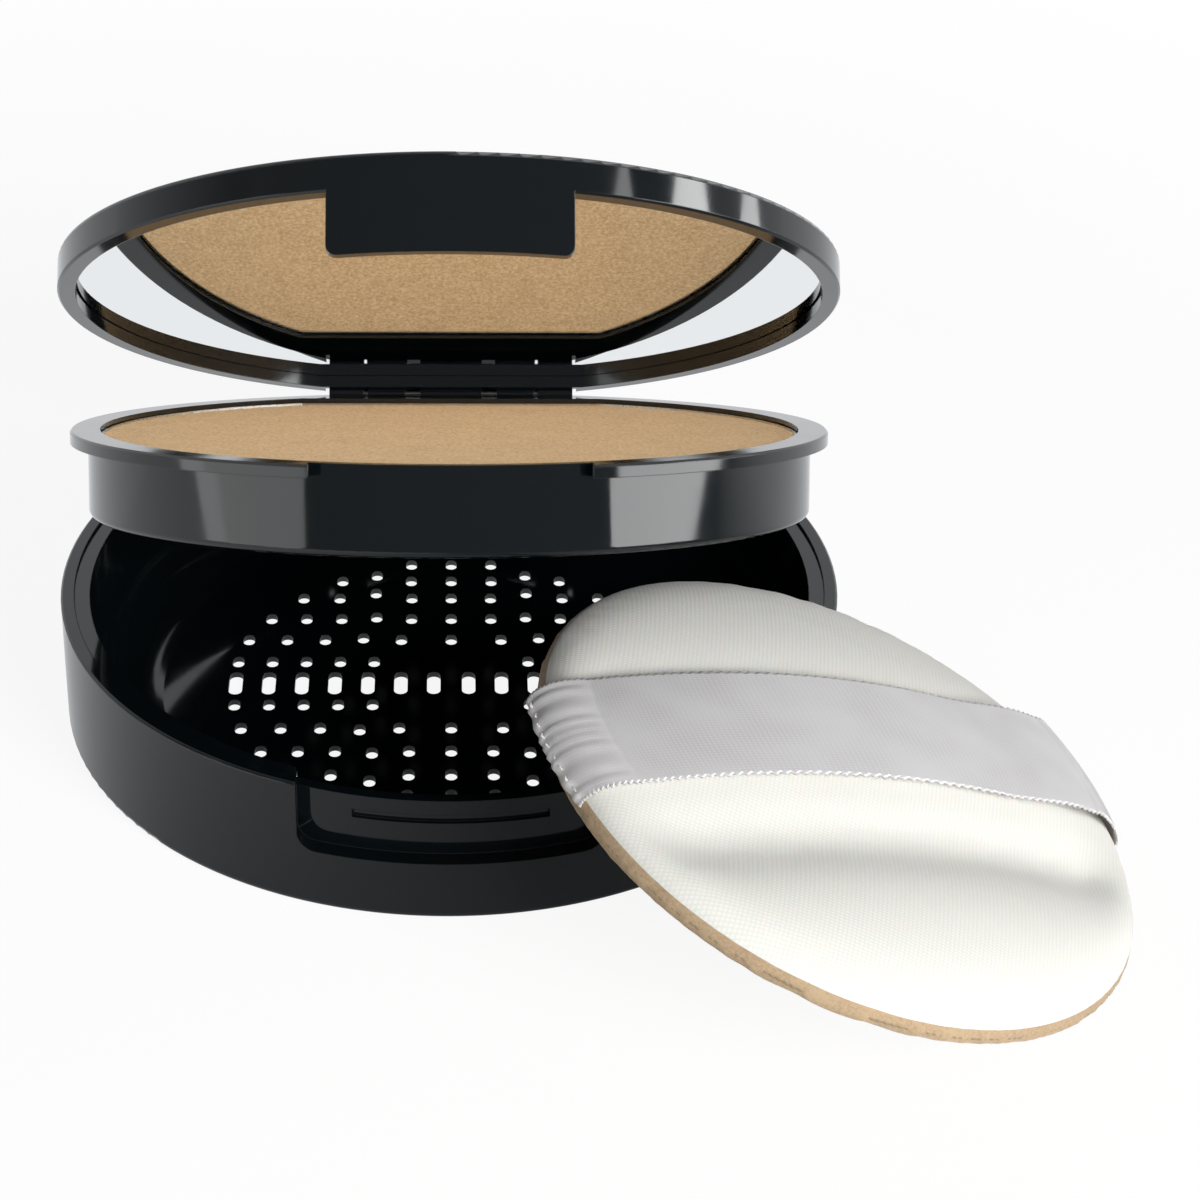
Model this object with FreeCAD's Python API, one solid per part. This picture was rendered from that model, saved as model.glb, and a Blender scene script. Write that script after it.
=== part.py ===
import FreeCAD, Part
import math
import os

# Round powder compact, all sizes in millimetres.
# A perforated base tray carries a hinged powder frame, and a mirror lid is hinged on the same pin.
# Origin: centre of the tray's underside.  +Z up, the finger recess faces -Y, the hinge is at +Y.
# Hinged pieces are modelled shut and then swung open about the hinge pin.

V = FreeCAD.Vector
AXIS_X, AXIS_Y, AXIS_Z = V(1, 0, 0), V(0, 1, 0), V(0, 0, 1)
FAR = 200.0                     # reach of a cutting block

# ---- driving dimensions -------------------------------------------------------------------
TRAY_R = 38.0                   # outside radius of the base tray
TRAY_H = 13.3                   # height of the tray rim
TRAY_WALL = 2.8                 # tray wall, shelf for the frame flange included
TRAY_LIP = 1.3                  # width of the lip outside the shelf
SHELF_DROP = 0.3                # how far the shelf lies below the lip
FLOOR_T = 0.6                   # perforated floor
BOWL_R = 6.5                    # inside radius between floor and wall
FOOT_R = 0.8                    # rounding of the tray's bottom edge
EDGE_R = 0.2                    # small moulded edges

# finger recess in the front of the tray
RECESS_HALF = 13.9              # half width
RECESS_DEPTH = 1.7              # how far the recess face lies inside the tray wall
RECESS_LEDGE = 6.2              # height of the ledge
RECESS_CORNER = 1.75            # rounding of its lower corners
RECESS_RIM_DROP = 1.35          # the rim is lower across the recess

# air vents in the floor: one row of slots, and rows of short vents in front of and behind it
SLOT_W, SLOT_L = 1.35, 4.0
SLOT_FIRST, SLOT_PITCH, SLOT_COUNT = 1.75, 3.3, 7
VENT_W, VENT_L = 1.15, 1.9
# distance of the row from the slots, first vent, pitch, vents a side, vent at the middle, step
# of the second vent out of its row
VENT_ROWS = [
    (3.9, 7.8, 3.42, 5, False, 0.0),
    (8.0, 5.1, 3.88, 5, True, 0.3),
    (12.0, 4.1, 3.6, 5, True, 0.3),
    (16.0, 4.1, 3.75, 4, True, 1.0),
    (19.4, 4.2, 3.6, 3, True, 1.1),
    (22.7, 4.2, 3.6, 1, True, 0.0),
]

# hinge
HINGE_INSET = 2.4               # pin axis inside the tray's outside
HINGE_RISE = 1.0                # pin axis above the tray rim
PIN_R = 0.6
PIN_FIT = 0.05                  # radial running clearance on the pin
KNUCKLE_R = 1.5
KNUCKLE_GAP = 0.3               # clearance around and beside a knuckle
LID_KNUCKLE_HALF = 3.3          # half width of the lid's knuckle in the middle
FRAME_KNUCKLE_IN = 4.9          # the frame's knuckles, one each side
FRAME_KNUCKLE_OUT = 8.9
LUG_IN = 9.3                    # the tray's lugs, outermost
LUG_OUT = 13.0
LUG_LEG = 0.4                   # how far a lug's leg reaches behind the pin axis
LEG_SHARE = 0.8                 # front of a leg or arm, as a share of the knuckle's radius
HINGE_ZONE = 13.4               # half width of the cut-outs around the hinge
HINGE_WELL = 4.3                # depth of the cut-out in the tray below the pin axis

# powder frame
FRAME_OPEN = 23.4               # opening angle of the frame at rest
FLANGE_GAP = 0.1                # flange above the tray shelf
FLANGE_T = 1.2
FLANGE_FIT = 0.3                # flange inside the tray lip
FRAME_PLAY = 0.5                # frame wall inside the tray wall
FRAME_WALL = 1.15
FRAME_DROP = 7.0                # wall below the flange
FRAME_SKIRT = 1.2               # wall below the frame's floor
FRAME_FLOOR = 1.2
FLANGE_CUT_HALF = 12.4          # half width of the flange cut-out behind the lid's tab
HEEL_INSET = 6.0                # flat side of the powder well, in front of the pin axis

# powder pan and cake
PAN_FIT = 0.1                   # metal pan inside the frame
PAN_T = 0.25
PAN_BELOW_FLANGE = 0.5          # rim of the metal pan below the flange's top face
CAKE_BELOW_RIM = 0.2
GLUE_T = 0.15
PAN_GLUE_R = 12.0

# lid
LID_OPEN = 42.3                 # opening angle of the lid at rest, from shut
LID_GAP = 0.1                   # lid rim above the flange
LID_INSET = 0.4                 # lid inside the tray's outside
LID_SIDE = 3.3                  # height of the lid's side
LID_RIM = 1.7                   # width of the rim around the mirror
LID_CROWN = 0.35                # rise of the lid's top towards its middle
LID_TOP_ROUND = 0.5
MIRROR_SINK = 1.25              # mirror face below the lid rim
MIRROR_T = 1.0
MIRROR_FIT = 0.15
MIRROR_GLUE_IN = 3.75           # glue inside the mirror's edge
POCKET_WALL = 0.7               # wall between the mirror and the hinge pocket
POCKET_RISE = 2.1               # height of the hinge pocket above the pin axis
TAB_HALF = 10.7                 # half width of the opening tab
TAB_DROP = 5.7                  # tab below the lid rim
TAB_T = 0.95
TAB_CORNER = 1.0
CATCH_BITE = 0.2                # ridge of the snap catch, inside the tab
CATCH_H = 0.5
CATCH_UP = 1.0                  # ridge above the tab's lower edge

# puff
PUFF_R = 29.0
PUFF_SEAM_W = -0.6              # seam level, from the puff's middle plane
PUFF_TOP = 5.4                  # top of the back at the middle
PUFF_SHOULDER = 2.5             # level of the back where its edge starts to round
PUFF_EDGE = 4.0                 # width of the rounded edge
PUFF_SOLE = -2.4                # level of the face near the edge
PUFF_HOLLOW = 1.0               # hollow of the face at the middle
COVER_T = 0.6
SEAM_R = 0.3                    # half the height of the edge binding
SEAM_T = 0.35                   # its thickness
RIBBON_HALF = 6.6
RIBBON_T = 0.4
RIBBON_GAP = 0.05
RIBBON_TURN = 26.8              # direction of the ribbon across the puff
RIBBON_OFF = 2.3                # centre line of the ribbon behind the puff's middle
STITCH_T = 0.3
STITCH_HALF = 5.2
PUFF_TILT = 22.6                # lean of the puff
PUFF_LEAN_TURN = -6.5           # direction in which it slopes down, from +X
PUFF_ALONG = 0.908              # plan position of its middle, in tray radii
PUFF_AHEAD = 1.058
PUFF_CLEAR = 0.3                # clearance of the leaning puff over the tray rim

# ---- places worked out from them ----------------------------------------------------------
HINGE_Y = TRAY_R - HINGE_INSET
PIN_Z = TRAY_H + HINGE_RISE
BORE_R = PIN_R + PIN_FIT
HINGE_CLEAR = KNUCKLE_R + KNUCKLE_GAP
TRAY_IN_R = TRAY_R - TRAY_WALL
SHELF_Z = TRAY_H - SHELF_DROP
RECESS_R = TRAY_R - RECESS_DEPTH
FLANGE_R = TRAY_R - TRAY_LIP - FLANGE_FIT
FRAME_R = TRAY_IN_R - FRAME_PLAY
FLANGE_LOW = SHELF_Z + FLANGE_GAP
FLANGE_TOP = FLANGE_LOW + FLANGE_T
FRAME_LOW = FLANGE_LOW - FRAME_DROP
FRAME_FLOOR_LOW = FRAME_LOW + FRAME_SKIRT
WELL_Z = FRAME_FLOOR_LOW + FRAME_FLOOR
WELL_R = FRAME_R - FRAME_WALL
PAN_R = WELL_R - PAN_FIT
PAN_LOW = WELL_Z + GLUE_T
PAN_TOP = FLANGE_TOP - PAN_BELOW_FLANGE
HEEL_CHORD = HINGE_Y - HEEL_INSET
PAN_CHORD = HEEL_CHORD - PAN_FIT
CAKE_R = PAN_R - PAN_T
CAKE_TOP = PAN_TOP - CAKE_BELOW_RIM
LID_R = TRAY_R - LID_INSET
LID_LOW = FLANGE_TOP + LID_GAP
LID_TOP = LID_LOW + LID_SIDE
LID_IN_R = LID_R - LID_RIM
MIRROR_R = LID_IN_R - MIRROR_FIT
MIRROR_LOW = LID_LOW + MIRROR_SINK
MIRROR_TOP = MIRROR_LOW + MIRROR_T
SKIN_LOW = MIRROR_TOP + GLUE_T
POCKET_Y = HINGE_Y - HINGE_CLEAR
MIRROR_CHORD = POCKET_Y - POCKET_WALL
TAB_LOW = LID_LOW - TAB_DROP
TAB_IN_R = LID_R - TAB_T


# ---- small helpers ------------------------------------------------------------------------
def cyl(radius, low, high):
    """Upright cylinder on the tray's axis."""
    return Part.makeCylinder(radius, high - low, V(0, 0, low))


def block(x0, x1, y0, y1, z0, z1):
    return Part.makeBox(x1 - x0, y1 - y0, z1 - z0, V(x0, y0, z0))


def along_x(radius, x0, x1):
    """Cylinder on the hinge axis from x0 to x1."""
    return Part.makeCylinder(radius, x1 - x0, V(x0, HINGE_Y, PIN_Z), AXIS_X)


def both_sides(make, x0, x1):
    """The same piece on the right and, mirrored, on the left."""
    return make(x0, x1).fuse(make(-x1, -x0))


def swing(shape, angle):
    """Open a hinged piece by the angle: its front goes up."""
    turned = shape.copy()
    turned.rotate(V(0, HINGE_Y, PIN_Z), V(-1, 0, 0), angle)
    return turned


def ring_edges(shape, radius, level):
    """Round edges of the given radius at the given height."""
    found = []
    for edge in shape.Edges:
        curve = None if edge.Degenerated else edge.Curve
        if isinstance(curve, Part.Circle) and abs(curve.Radius - radius) < 1e-4:
            if abs(curve.Center.z - level) < 1e-4:
                found.append(edge)
    return found


def round_ring(shape, radius, level, rounding):
    return shape.makeFillet(rounding, ring_edges(shape, radius, level))


def soft_edge(shape, radius, level):
    """Take the sharpness off a round edge with a small chamfer."""
    return shape.makeChamfer(EDGE_R, ring_edges(shape, radius, level))


def round_slot(cx, cy, width, length, low, high):
    """Upright slot with round ends, long side along Y."""
    r = width / 2
    half = length / 2 - r
    body = block(cx - r, cx + r, cy - half, cy + half, low, high)
    for end in (-half, half):
        body = body.fuse(Part.makeCylinder(r, high - low, V(cx, cy + end, low)))
    return body


def rounded_panel(half, low, corner, y0, y1, high):
    """Panel in XZ between y0 and y1 whose two lower corners are rounded."""
    panel = block(-half, half, y0, y1, low, high)
    edges = []
    for edge in panel.Edges:
        a, b = edge.Vertexes[0].Point, edge.Vertexes[-1].Point
        if abs(a.z - low) < 1e-6 and abs(b.z - low) < 1e-6 and abs(a.x - b.x) < 1e-6:
            edges.append(edge)
    return panel.makeFillet(corner, edges)


def dome_drop(half, rise, x):
    """How far a shallow dome of that half width and rise has dropped at x from its middle."""
    radius = (half ** 2 + rise ** 2) / (2 * rise)
    return radius - math.sqrt(radius ** 2 - x ** 2)


def turned(curves):
    """Solid of revolution about the tray's axis, from the curves around its half section."""
    return Part.Face(Part.Wire(curves)).revolve(V(0, 0, 0), AXIS_Z, 360)


def save(shape, node):
    shape = shape.removeSplitter()
    shape.exportStep("parts/%s.step" % node)
    print("%-22s solids %d  volume %.1f" % (node, len(shape.Solids), shape.Volume))


# ---- base tray ----------------------------------------------------------------------------
def vents():
    low, high = -1.0, FLOOR_T + 1.0
    cuts = []
    for i in range(SLOT_COUNT):
        x = SLOT_FIRST + i * SLOT_PITCH
        cuts += [round_slot(side * x, 0, SLOT_W, SLOT_L, low, high) for side in (-1, 1)]
    for away, first, pitch, count, middle, step in VENT_ROWS:
        for front in (-1, 1):
            if middle:
                cuts.append(round_slot(0, front * away, VENT_W, VENT_L, low, high))
            for i in range(count):
                x = first + i * pitch
                y = front * (away + (step if i == 1 else 0))
                cuts += [round_slot(s * x, y, VENT_W, VENT_L, low, high) for s in (-1, 1)]
    return Part.makeCompound(cuts)


def hinge_lug(x0, x1):
    """Tray lug: a leg that stands on the wall and a knuckle around the pin."""
    front = HINGE_Y - LEG_SHARE * KNUCKLE_R
    leg = block(x0, x1, front, HINGE_Y + LUG_LEG, PIN_Z - HINGE_WELL - 0.5, PIN_Z)
    return leg.fuse(along_x(KNUCKLE_R, x0, x1))


def base_tray():
    outside = soft_edge(cyl(TRAY_R, 0, TRAY_H), TRAY_R, TRAY_H)
    outside = round_ring(outside, TRAY_R, 0, FOOT_R)
    hollow = round_ring(cyl(TRAY_IN_R, FLOOR_T, TRAY_H + 1), TRAY_IN_R, FLOOR_T, BOWL_R)
    shelf = cyl(TRAY_R - TRAY_LIP, SHELF_Z, TRAY_H + 1)
    tray = outside.cut(hollow).cut(shelf)
    recess = rounded_panel(RECESS_HALF, RECESS_LEDGE, RECESS_CORNER, -FAR, 0, FAR)
    tray = tray.cut(recess.cut(cyl(RECESS_R, -1, FAR + 1)))
    tray = tray.cut(block(-RECESS_HALF, RECESS_HALF, -FAR, 0, TRAY_H - RECESS_RIM_DROP, FAR))
    tray = tray.cut(catch_ridge(RECESS_R, CATCH_BITE + EDGE_R))
    well = PIN_Z - HINGE_WELL
    tray = tray.cut(block(-HINGE_ZONE, HINGE_ZONE, TRAY_IN_R / 2, FAR, well, FAR))
    tray = tray.fuse(both_sides(hinge_lug, LUG_IN, LUG_OUT))
    tray = tray.cut(along_x(PIN_R, -FAR, FAR))
    return tray.cut(vents())


def catch_ridge(at, bite):
    """Ridge or groove of the snap catch: a low band that reaches inwards from a radius."""
    low = TAB_LOW + CATCH_UP - (bite - CATCH_BITE)
    high = low + CATCH_H + 2 * (bite - CATCH_BITE)
    half = TAB_HALF - 2 * TAB_CORNER + bite - CATCH_BITE
    band = cyl(at + EDGE_R, low, high).cut(cyl(at - bite, low - 1, high + 1))
    return band.common(block(-half, half, -FAR, 0, 0, TRAY_H))


def hinge_pin():
    return along_x(PIN_R, -LUG_OUT, LUG_OUT)


# ---- powder frame -------------------------------------------------------------------------
def frame_knuckle(x0, x1):
    return along_x(KNUCKLE_R, x0, x1)


def notch(x0, x1):
    """Cut-out behind the frame flange for a knuckle or lug of another piece."""
    return block(x0, x1, POCKET_Y, FAR, PIN_Z - HINGE_CLEAR, PIN_Z + FAR)


def behind_chord(chord):
    return block(-FAR, FAR, chord, FAR, -FAR, FAR)


def powder_frame():
    flange = soft_edge(cyl(FLANGE_R, FLANGE_LOW, FLANGE_TOP), FLANGE_R, FLANGE_TOP)
    opening = block(-FLANGE_CUT_HALF, FLANGE_CUT_HALF, -FAR, 0, 0, FAR)
    flange = flange.cut(opening.cut(cyl(FRAME_R, -1, FAR + 1)))
    wall = round_ring(cyl(FRAME_R, FRAME_LOW, FLANGE_TOP), FRAME_R, FRAME_LOW, FRAME_WALL * 0.6)
    frame = flange.fuse(wall)
    frame = frame.cut(cyl(WELL_R, WELL_Z, FAR).cut(behind_chord(HEEL_CHORD)))
    frame = frame.cut(cyl(WELL_R, FRAME_LOW - 1, FRAME_FLOOR_LOW))
    between = (LID_KNUCKLE_HALF + FRAME_KNUCKLE_IN) / 2 + KNUCKLE_GAP * 2
    frame = frame.cut(notch(-between, between))
    frame = frame.cut(both_sides(notch, LUG_IN - KNUCKLE_GAP, FAR).common(
        block(-HINGE_ZONE, HINGE_ZONE, 0, FAR, 0, FAR)))
    frame = frame.fuse(both_sides(frame_knuckle, FRAME_KNUCKLE_IN, FRAME_KNUCKLE_OUT))
    return frame.cut(along_x(BORE_R, -FAR, FAR))


def powder_pan():
    outside = cyl(PAN_R, PAN_LOW, PAN_TOP).cut(behind_chord(PAN_CHORD))
    inside = cyl(CAKE_R, PAN_LOW + PAN_T, PAN_TOP + 1).cut(behind_chord(PAN_CHORD - PAN_T))
    return outside.cut(inside)


def powder_cake():
    return cyl(CAKE_R, PAN_LOW + PAN_T, CAKE_TOP).cut(behind_chord(PAN_CHORD - PAN_T))


def pan_glue():
    return cyl(PAN_GLUE_R, WELL_Z, PAN_LOW)


# ---- lid ----------------------------------------------------------------------------------
def crowned_disc():
    """The lid's outside: a disc whose top is a shallow dome."""
    inner = LID_R - LID_TOP_ROUND
    corner = LID_TOP_ROUND * (1 - math.sqrt(0.5))
    side = [V(0, 0, LID_LOW), V(LID_R - EDGE_R, 0, LID_LOW), V(LID_R, 0, LID_LOW + EDGE_R),
            V(LID_R, 0, LID_TOP - LID_TOP_ROUND)]
    shoulder, middle = V(inner, 0, LID_TOP), V(0, 0, LID_TOP + LID_CROWN)
    rise = LID_CROWN - dome_drop(inner, LID_CROWN, inner / 2)
    curves = [Part.makeLine(a, b) for a, b in zip(side, side[1:])]
    curves.append(Part.Arc(side[-1], V(LID_R - corner, 0, LID_TOP - corner), shoulder).toShape())
    curves.append(Part.Arc(shoulder, V(inner / 2, 0, LID_TOP + rise), middle).toShape())
    curves.append(Part.makeLine(middle, side[0]))
    return turned(curves)


def lid_shell():
    lid = crowned_disc().cut(cyl(LID_IN_R, LID_LOW - 1, SKIN_LOW))
    pocket_top = PIN_Z + POCKET_RISE
    heel = block(-HINGE_ZONE - POCKET_WALL, HINGE_ZONE + POCKET_WALL,
                 MIRROR_CHORD, FAR, LID_LOW, SKIN_LOW).common(cyl(LID_IN_R, LID_LOW, SKIN_LOW))
    lid = lid.fuse(heel)
    lid = lid.cut(block(-HINGE_ZONE, HINGE_ZONE, POCKET_Y, FAR, 0, pocket_top))
    tab = rounded_panel(TAB_HALF, TAB_LOW, TAB_CORNER, -FAR, 0, LID_LOW + EDGE_R * 2)
    tab = tab.common(cyl(LID_R, 0, FAR).cut(cyl(TAB_IN_R, -1, FAR + 1)))
    lid = lid.fuse(tab).fuse(catch_ridge(TAB_IN_R, CATCH_BITE))
    arm_half = LEG_SHARE * KNUCKLE_R
    arm = block(-LID_KNUCKLE_HALF, LID_KNUCKLE_HALF, HINGE_Y - arm_half, HINGE_Y + arm_half,
                PIN_Z, pocket_top + EDGE_R)
    lid = lid.fuse(arm).fuse(along_x(KNUCKLE_R, -LID_KNUCKLE_HALF, LID_KNUCKLE_HALF))
    return lid.cut(along_x(BORE_R, -FAR, FAR))


def mirror_glass():
    glass = cyl(MIRROR_R, MIRROR_LOW, MIRROR_TOP)
    return glass.cut(behind_chord(MIRROR_CHORD - MIRROR_FIT))


def mirror_glue():
    return cyl(MIRROR_R - MIRROR_GLUE_IN, MIRROR_TOP, SKIN_LOW)


# ---- puff ---------------------------------------------------------------------------------
def puff_body(inset):
    """The puff's outside, made smaller by inset: a domed pad with a rounded edge."""
    rim = PUFF_R - inset
    top, sole = PUFF_TOP - inset, PUFF_SOLE + inset
    shoulder = V(PUFF_R - PUFF_EDGE, 0, PUFF_SHOULDER - inset)
    heel = V(PUFF_R - PUFF_EDGE / 2, 0, sole)
    seam = V(rim, 0, PUFF_SEAM_W)
    half = shoulder.x / 2
    back_mid = V(half, 0, top - dome_drop(shoulder.x, top - shoulder.z, half))
    back = Part.Arc(V(0, 0, top), back_mid, shoulder)
    edge_mid = V(rim - PUFF_EDGE * 0.24, 0, PUFF_SEAM_W + (shoulder.z - PUFF_SEAM_W) * 0.62)
    edge = Part.Arc(shoulder, edge_mid, seam)
    under = Part.Arc(seam, V(rim - PUFF_EDGE * 0.13, 0, sole + (PUFF_SEAM_W - sole) * 0.32), heel)
    half = heel.x / 2
    hollow = sole + PUFF_HOLLOW
    face = Part.Arc(heel, V(half, 0, hollow - dome_drop(heel.x, PUFF_HOLLOW, half)), V(0, 0, hollow))
    curves = [back.toShape(), edge.toShape(), under.toShape(), face.toShape(),
              Part.makeLine(V(0, 0, hollow), V(0, 0, top))]
    return turned(curves)


def above_seam():
    return block(-FAR, FAR, -FAR, FAR, PUFF_SEAM_W, FAR)


def across_puff(shape):
    """Turn a piece that runs along X to the ribbon's direction."""
    shape.translate(V(0, RIBBON_OFF, 0))
    shape.rotate(V(0, 0, 0), AXIS_Z, RIBBON_TURN)
    return shape


def puff_foam():
    return puff_body(COVER_T)


def puff_back_cover():
    return puff_body(0).cut(puff_body(COVER_T)).common(above_seam())


def puff_face_cover():
    return puff_body(0).cut(puff_body(COVER_T)).cut(above_seam())


def puff_edge_seam():
    """Binding that hugs the puff's edge around the seam."""
    binding = puff_body(-SEAM_T).cut(puff_body(0))
    return binding.common(block(-FAR, FAR, -FAR, FAR, PUFF_SEAM_W - SEAM_R, PUFF_SEAM_W + SEAM_R))


def puff_ribbon():
    layer = puff_body(-RIBBON_GAP - RIBBON_T).cut(puff_body(-RIBBON_GAP))
    band = across_puff(block(-FAR, FAR, -RIBBON_HALF, RIBBON_HALF, PUFF_SEAM_W + 2 * SEAM_R, FAR))
    return layer.common(band)


def ribbon_stitches():
    """A bar of stitching at each end of the ribbon."""
    outer = -RIBBON_GAP - RIBBON_T
    low = PUFF_SEAM_W + 3 * SEAM_R
    layer = puff_body(outer - STITCH_T / 2).cut(puff_body(outer))
    bar = across_puff(block(-FAR, FAR, -STITCH_HALF, STITCH_HALF, low, low + STITCH_T * 2))
    return layer.common(bar)


def puff_place():
    """The puff leans on the tray rim: tilt it, then lower it until it clears the rim."""
    lean = FreeCAD.Rotation(AXIS_Z, PUFF_LEAN_TURN).multiply(FreeCAD.Rotation(AXIS_Y, PUFF_TILT))
    normal = lean.multVec(AXIS_Z)
    cx, cy = PUFF_ALONG * TRAY_R, -PUFF_AHEAD * TRAY_R
    height = -PUFF_SOLE
    for step in range(0, 3600):
        a = math.radians(step / 10)
        px, py = TRAY_R * math.cos(a) - cx, TRAY_R * math.sin(a) - cy
        reach = px * normal.x + py * normal.y
        # height of the face over this point of the rim, for a middle plane through z = 0
        plane = -reach / normal.z
        out = math.sqrt(max(px * px + py * py + plane * plane, 0))
        if out < PUFF_R - PUFF_EDGE / 2:
            sole = PUFF_SOLE + PUFF_HOLLOW * (1 - (out / PUFF_R) ** 2)
        elif out < PUFF_R:
            share = (out - PUFF_R + PUFF_EDGE / 2) / (PUFF_EDGE / 2)
            sole = PUFF_SOLE + (PUFF_SEAM_W - PUFF_SOLE) * (1 - math.sqrt(1 - share ** 2))
        else:
            continue
        height = max(height, TRAY_H + PUFF_CLEAR - plane - (sole / normal.z))
    return FreeCAD.Placement(V(cx, cy, height), lean)


def lean_on_tray(shape, place):
    leaned = shape.copy()
    leaned.Placement = place.multiply(leaned.Placement)
    return leaned


# ---- the nodes ----------------------------------------------------------------------------
os.makedirs("parts", exist_ok=True)

save(base_tray(), "base_tray")
save(hinge_pin(), "hinge_pin")

for node, make in (("powder_frame", powder_frame), ("powder_pan", powder_pan),
                   ("powder_cake", powder_cake), ("pan_glue", pan_glue)):
    save(swing(make(), FRAME_OPEN), node)

for node, make in (("lid_shell", lid_shell), ("mirror_glass", mirror_glass),
                   ("mirror_glue", mirror_glue)):
    save(swing(make(), LID_OPEN), node)

PUFF_AT = puff_place()
for node, make in (("puff_foam", puff_foam), ("puff_back_cover", puff_back_cover),
                   ("puff_face_cover", puff_face_cover), ("puff_edge_seam", puff_edge_seam),
                   ("puff_ribbon", puff_ribbon), ("ribbon_stitches", ribbon_stitches)):
    save(lean_on_tray(make(), PUFF_AT), node)
print("puff centre", PUFF_AT.Base)
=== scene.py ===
"""Finishes, soft goods and studio for a round powder compact.

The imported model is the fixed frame.  Hard parts keep their own meshes and get better materials.
The puff, its piping, its ribbon and its stitches are made here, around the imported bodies.
Lengths are in metres, +Z is up, the finger recess faces -Y.
"""

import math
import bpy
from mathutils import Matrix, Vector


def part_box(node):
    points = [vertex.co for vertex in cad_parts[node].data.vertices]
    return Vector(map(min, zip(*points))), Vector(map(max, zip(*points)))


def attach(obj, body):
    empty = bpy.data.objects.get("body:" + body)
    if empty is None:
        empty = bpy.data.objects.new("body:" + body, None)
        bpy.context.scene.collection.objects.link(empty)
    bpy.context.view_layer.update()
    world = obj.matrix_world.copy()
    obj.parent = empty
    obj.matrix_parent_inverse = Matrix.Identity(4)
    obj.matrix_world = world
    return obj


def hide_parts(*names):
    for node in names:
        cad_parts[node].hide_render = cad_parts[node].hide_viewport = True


bl_info = {
    "name": "Powder compact",
    "version": (1, 0, 0),
    "blender": (4, 5, 0),
    "location": "View3D > Sidebar > Compact",
    "description": "Finishes, puff and studio for a round powder compact with a mirror lid",
    "category": "Object",
}

import bmesh
import bpy
import numpy as np
from bpy.props import FloatProperty, FloatVectorProperty, IntProperty, PointerProperty
from bpy.types import Operator, Panel, PropertyGroup
from mathutils import Matrix, Vector

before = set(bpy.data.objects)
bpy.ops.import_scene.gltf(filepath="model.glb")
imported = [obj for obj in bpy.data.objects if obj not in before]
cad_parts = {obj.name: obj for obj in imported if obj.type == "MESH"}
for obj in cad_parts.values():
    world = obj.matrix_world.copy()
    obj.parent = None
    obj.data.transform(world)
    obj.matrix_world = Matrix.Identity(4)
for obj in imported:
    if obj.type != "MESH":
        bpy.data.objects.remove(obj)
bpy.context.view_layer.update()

MM = 0.001


# ---- property helpers ---------------------------------------------------------------------
def linear(hexa):
    """sRGB hex, such as "c0ffee", to a linear colour with alpha 1."""
    srgb = np.array([int(hexa[i : i + 2], 16) for i in (0, 2, 4)]) / 255
    low, high = srgb / 12.92, ((srgb + 0.055) / 1.055) ** 2.4
    return (*np.where(srgb <= 0.04045, low, high).tolist(), 1.0)


def colour(name, hexa, text):
    return FloatVectorProperty(
        name=name, description=text, default=linear(hexa), size=4, subtype="COLOR", min=0, max=1
    )


def length(name, mm, text):
    return FloatProperty(name=name, description=text, default=mm * MM, unit="LENGTH", precision=5)


def angle(name, degrees, text):
    return FloatProperty(
        name=name, description=text, default=math.radians(degrees), unit="ROTATION"
    )


def share(name, value, text):
    return FloatProperty(name=name, description=text, default=value, subtype="FACTOR")


# ---- sizes and colours --------------------------------------------------------------------
class CompactFinish(PropertyGroup):
    plastic: colour("Plastic", "0b1114", "Body colour of the moulded case")
    plastic_worn: colour("Worn plastic", "24282a", "Case plastic where an edge is rubbed")
    powder: colour("Powder", "c3a57d", "Pressed powder")
    powder_dark: colour("Powder shade", "ab8a62", "Darker grains of the powder")
    powder_light: colour("Powder light", "d9bd98", "Lighter grains of the powder")
    pan: colour("Pan", "cfcecb", "Aluminium of the powder pan")
    pin: colour("Pin", "bfbfbf", "Steel of the hinge pin")
    mirror: colour("Mirror", "f1f3f2", "Silvering of the mirror")
    glue: colour("Glue", "d9d2bd", "Cured glue")
    grain: length("Powder grain", 0.34, "Width of the powder's grain")
    edge: length("Plastic edge", 0.12, "Radius of the softened edges of the case")


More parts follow.
